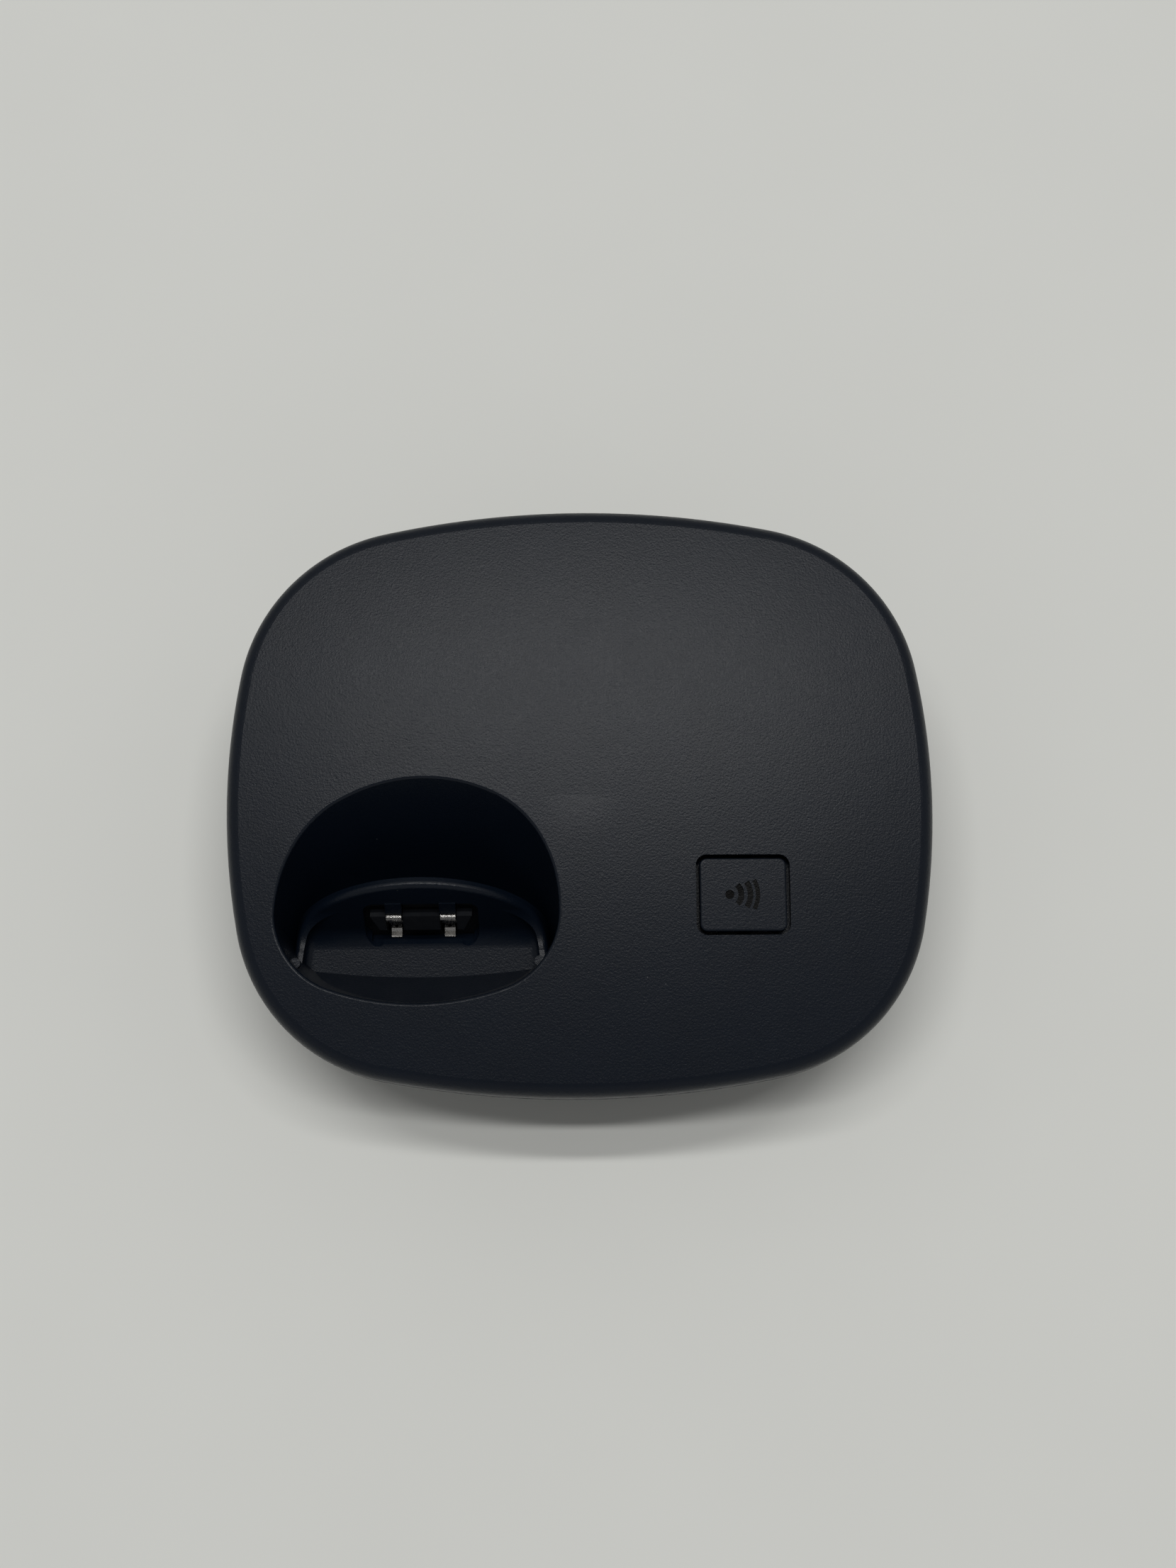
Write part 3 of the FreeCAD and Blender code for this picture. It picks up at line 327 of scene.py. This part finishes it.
def chip_package(name):
    """Moulded chip with tinned legs: whatever is close to the board's face is leg."""
    paint = Paint(name)
    board_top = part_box("processor")[0].z
    leg = paint.math("LESS_THAN", paint.axis("Z"), board_top + LEG_HEIGHT)
    epoxy = paint.mix(paint.noise(0.4 * MM, 3.0), *EPOXY)
    paint.color(paint.mix(leg, epoxy, LEG_COLOR))
    paint.set("Metallic", leg)
    paint.set("Roughness", paint.remap(leg, 0.0, 1.0, 0.62, 0.3))
    paint.bump(paint.noise(0.12 * MM), 0.006 * MM, 0.8)
    return paint.material


def sleeved_can(name):
    """Aluminium can in a dark sleeve with a pale stripe; the flat end is bare."""
    paint = Paint(name)
    stripe = paint.math("GREATER_THAN", paint.axis("X", paint.normal()), CAN_STRIPE)
    sleeve = paint.mix(stripe, SLEEVE_COLOR, STRIPE_COLOR)
    bare = paint.math("GREATER_THAN", paint.axis("Z", paint.normal()), CAN_END)
    paint.color(paint.mix(bare, sleeve, BARE_CAN))
    paint.set("Metallic", bare)
    paint.set("Roughness", paint.spread(paint.noise(1.5 * MM, 3.0), 0.24, 0.36))
    paint.bump(paint.noise(0.6 * MM), 0.008 * MM, 0.5)
    return paint.material


def wound_core(name):
    """Varnished laminations in the middle, with taped windings at both ends."""
    paint = Paint(name)
    low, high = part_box("line_transformer")
    away = paint.away_from("Y", (low.y + high.y) / 2)
    tape = paint.math("GREATER_THAN", away, CORE_HALF_DEPTH)
    sheets = paint.wave("Y", SHEET_PITCH)
    layers = paint.remap(sheets, -1.0, 1.0, 0.0, 1.0)
    core = paint.mix(layers, *LAMINATIONS)
    wrap = paint.mix(paint.noise(2 * MM, 3.0), *TAPE)
    paint.color(paint.mix(tape, core, wrap))
    paint.set("Roughness", paint.spread(paint.noise(1.0 * MM), 0.4, 0.55))
    paint.bump(sheets, 0.02 * MM, 0.5)
    return paint.material


def chip_parts(name):
    """Small ceramic parts in patches of tan and black."""
    paint = Paint(name)
    patch = paint.math("GREATER_THAN", paint.noise(3.4 * MM, 0.0), 0.5)
    paint.color(paint.mix(patch, CERAMIC_TAN, CERAMIC_BLACK))
    paint.set("Roughness", paint.spread(paint.noise(0.3 * MM), 0.4, 0.6))
    paint.bump(paint.noise(0.15 * MM), 0.01 * MM, 0.6)
    return paint.material


def flat_cable(name):
    """Pale jacket with the fine ribs of the wires under it."""
    paint = Paint(name)
    ribs = paint.wave("X", WIRE_PITCH)
    tone = paint.remap(ribs, -1.0, 1.0, 0.0, 1.0)
    paint.color(paint.mix(tone, *JACKET))
    paint.set("Roughness", paint.spread(paint.noise(1.0 * MM), 0.45, 0.6))
    paint.bump(ribs, 0.04 * MM, 0.7)
    return paint.material


def printed_film(name):
    """Silver-grey film with a plain dark frame line; it carries no words."""
    paint = Paint(name)
    low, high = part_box("rating_label")
    centre = (low + high) / 2
    half = (high - low) / 2
    from_side = paint.math("SUBTRACT", half.x, paint.away_from("X", centre.x))
    from_end = paint.math("SUBTRACT", half.y, paint.away_from("Y", centre.y))
    line = paint.within(paint.math("MINIMUM", from_side, from_end), *LABEL_LINE)
    film = paint.mix(paint.noise(7 * MM, 3.0), *FILM)
    paint.color(paint.mix(line, film, FRAME_LINE))
    paint.set("Roughness", paint.spread(paint.noise(2 * MM, 4.0), 0.3, 0.42))
    paint.bump(paint.noise(0.3 * MM), 0.003 * MM, 0.5)
    return paint.material


def rubber(name):
    """Matt black rubber with a fine pebbled face."""
    paint = Paint(name)
    paint.color(paint.mix(paint.noise(2.5 * MM, 4.0), *RUBBER))
    paint.set("Roughness", paint.spread(paint.noise(0.8 * MM, 3.0), 0.78, 0.92))
    paint.set("Specular IOR Level", 0.35)
    paint.bump(paint.noise(0.35 * MM, 3.0), 0.03 * MM, 0.8)
    return paint.material


# What makes each slot's material. A metal's last three numbers stretch its rolling lines.
MATERIALS = {
    "shell_black": grained_plastic,
    "button_black": lambda name: grained_plastic(name, icon_mask),
    "holder_black": lambda name: smooth_plastic(name, (0.006, 0.007, 0.009), 0.5),
    "contact_metal": lambda name: metal(name, (0.86, 0.84, 0.8), 0.22, 0.2 * MM, (1.0, 0.1, 0.1)),
    "board_green": circuit_board,
    "chip_black": chip_package,
    "tin_plate": lambda name: metal(name, (0.68, 0.68, 0.66), 0.3, 0.3 * MM, (1.0, 0.08, 0.3)),
    "zinc_steel": lambda name: metal(name, (0.62, 0.62, 0.64), 0.34, 0.2 * MM, (1.0, 1.0, 0.2)),
    "core_brown": wound_core,
    "ferrite_grey": lambda name: smooth_plastic(name, (0.035, 0.035, 0.038), 0.7),
    "sleeve_dark": sleeved_can,
    "chip_tan": chip_parts,
    "arrester_white": lambda name: smooth_plastic(name, (0.62, 0.6, 0.56), 0.28),
    "jack_black": lambda name: smooth_plastic(name, (0.008, 0.008, 0.009), 0.32),
    "gold_wire": lambda name: metal(name, (0.9, 0.66, 0.3), 0.22, 0.15 * MM, (1.0, 0.1, 0.1)),
    "ribbon_grey": flat_cable,
    "socket_ivory": lambda name: smooth_plastic(name, (0.62, 0.58, 0.46), 0.45),
    "foot_rubber": rubber,
    "label_silver": printed_film,
}


def dress_nodes(frame):
    """Gives every node of the frame the material of its slot."""
    made = {slot: make(slot) for slot, make in MATERIALS.items()}
    for row in frame["record"]["subparts"]:
        node = frame["nodes"][row["node"]]
        for place in node.material_slots:
            place.material = made[row["material_slot"]]


def make_floor():
    """Large pale sheet of paper with a faint tooth."""
    bpy.ops.mesh.primitive_plane_add(size=FLOOR_SIZE, location=(0.0, 0.0, 0.0))
    floor = bpy.context.object
    floor.name = "floor"
    paint = Paint("floor_paper")
    tone = paint.spread(paint.noise(60 * MM, 3.0), 0.0, 1.0)
    paint.color(paint.mix(tone, shade(FLOOR_COLOR, 0.992), shade(FLOOR_COLOR, 1.008)))
    paint.set("Roughness", 0.9)
    paint.set("Specular IOR Level", 0.1)
    paint.bump(paint.noise(0.6 * MM, 3.0), 0.01 * MM, 0.3)
    floor.data.materials.append(paint.material)


def make_lamps():
    for name, (lean, power, mirrored) in LAMPS.items():
        data = bpy.data.lights.new(name, "AREA")
        data.shape = "RECTANGLE"
        data.size = LAMP_LENGTH
        data.size_y = LAMP_DEPTH
        data.energy = power
        lamp = bpy.data.objects.new(name, data)
        lamp.visible_glossy = mirrored
        angle = math.radians(lean)
        lamp.rotation_euler = (-angle, 0.0, 0.0)
        lamp.location = (0.0, LAMP_HEIGHT * math.sin(angle), LAMP_HEIGHT * math.cos(angle))
        bpy.context.scene.collection.objects.link(lamp)


def make_room():
    """Grey surroundings whose brightness follows the height in the sky."""
    world = bpy.data.worlds.new("room")
    bpy.context.scene.world = world
    world.use_nodes = True
    tree = world.node_tree
    direction = tree.nodes.new("ShaderNodeTexCoord").outputs["Generated"]
    split = tree.nodes.new("ShaderNodeSeparateXYZ")
    tree.links.new(direction, split.inputs[0])
    ramp = tree.nodes.new("ShaderNodeValToRGB")
    stops = ramp.color_ramp.elements
    while len(stops) < len(ROOM):
        stops.new(0.5)
    for stop, (height, level) in zip(stops, ROOM):
        stop.position = height
        stop.color = (level, level, level, 1.0)
    tree.links.new(split.outputs["Z"], ramp.inputs["Fac"])
    tree.links.new(ramp.outputs["Color"], tree.nodes["Background"].inputs["Color"])


def make_camera():
    back = Vector((0.0, -math.cos(CAMERA_RISE), math.sin(CAMERA_RISE)))
    level_right = Vector((1.0, 0.0, 0.0))
    level_up = back.cross(level_right)
    roll_cos, roll_sin = math.cos(CAMERA_ROLL), math.sin(CAMERA_ROLL)
    right = roll_cos * level_right - roll_sin * level_up
    up = roll_sin * level_right + roll_cos * level_up
    place = AIM + CAMERA_DISTANCE * back + CAMERA_RIGHT * right + CAMERA_UP * up

    data = bpy.data.cameras.new("camera")
    data.sensor_fit = "VERTICAL"
    data.sensor_height = SENSOR
    data.lens = LENS
    data.clip_start = NEAREST
    data.clip_end = FARTHEST
    camera = bpy.data.objects.new("camera", data)
    turn = Matrix((right, up, back)).transposed()
    camera.matrix_world = Matrix.Translation(place) @ turn.to_4x4()
    bpy.context.scene.collection.objects.link(camera)
    bpy.context.scene.camera = camera


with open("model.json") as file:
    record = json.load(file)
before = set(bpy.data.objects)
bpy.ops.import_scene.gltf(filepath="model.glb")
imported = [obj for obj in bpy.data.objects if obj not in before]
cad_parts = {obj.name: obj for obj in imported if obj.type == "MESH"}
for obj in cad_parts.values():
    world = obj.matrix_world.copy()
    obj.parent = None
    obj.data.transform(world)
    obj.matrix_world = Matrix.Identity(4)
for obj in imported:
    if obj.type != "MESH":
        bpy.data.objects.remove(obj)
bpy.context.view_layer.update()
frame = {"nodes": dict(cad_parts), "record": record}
bpy.context.scene.view_settings.view_transform = "Standard"
dress_nodes(frame)
make_floor()
make_lamps()
make_room()
make_camera()
